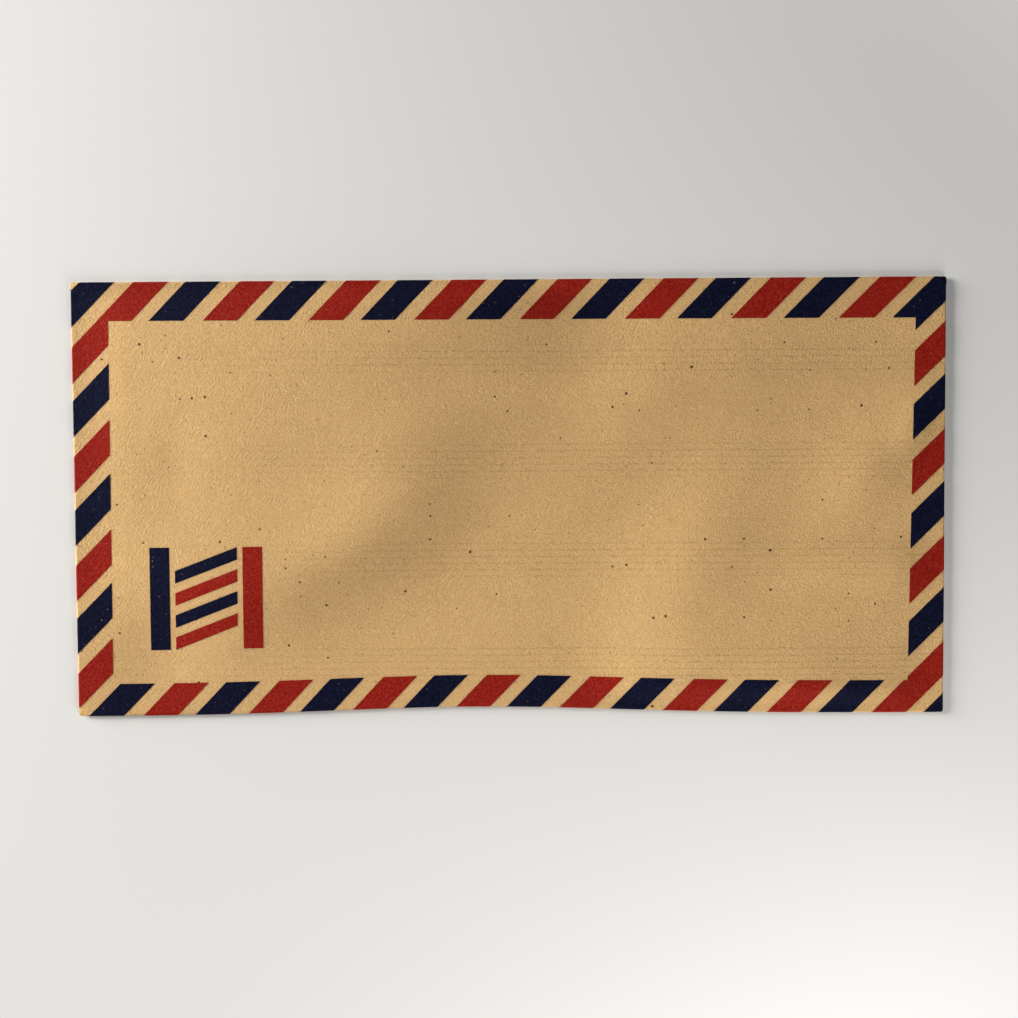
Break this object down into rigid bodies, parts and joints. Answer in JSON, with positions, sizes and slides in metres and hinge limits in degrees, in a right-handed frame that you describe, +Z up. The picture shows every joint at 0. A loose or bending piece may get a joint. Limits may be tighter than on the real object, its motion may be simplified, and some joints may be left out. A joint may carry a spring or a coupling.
{
  "type": "paper envelope",
  "caption": "Long wallet envelope folded from one kraft sheet, with a slanted red and navy airmail border on its front and a closing flap folded down behind it",
  "frame": {"origin": "under the middle of the envelope, on the surface that it lies on", "axes": "+X runs along the long side, to the right as the front is read; +Y runs from the bottom fold to the closed top fold; +Z points up out of the printed front, and the envelope lies on its back"},
  "size_m": [0.22, 0.11, 0.0031],
  "materials": {
    "kraft_paper": "matte unbleached kraft paper with a fine machine rib, brown with dark specks and pale fibres",
    "red_ink": "thin red printing ink on kraft paper, slightly satin",
    "navy_ink": "thin navy printing ink on kraft paper, slightly satin"
  },
  "bodies": {
    "root": {"envelope": "kraft_paper", "red_print": "red_ink", "navy_print": "navy_ink"}
  },
  "joints": []
}
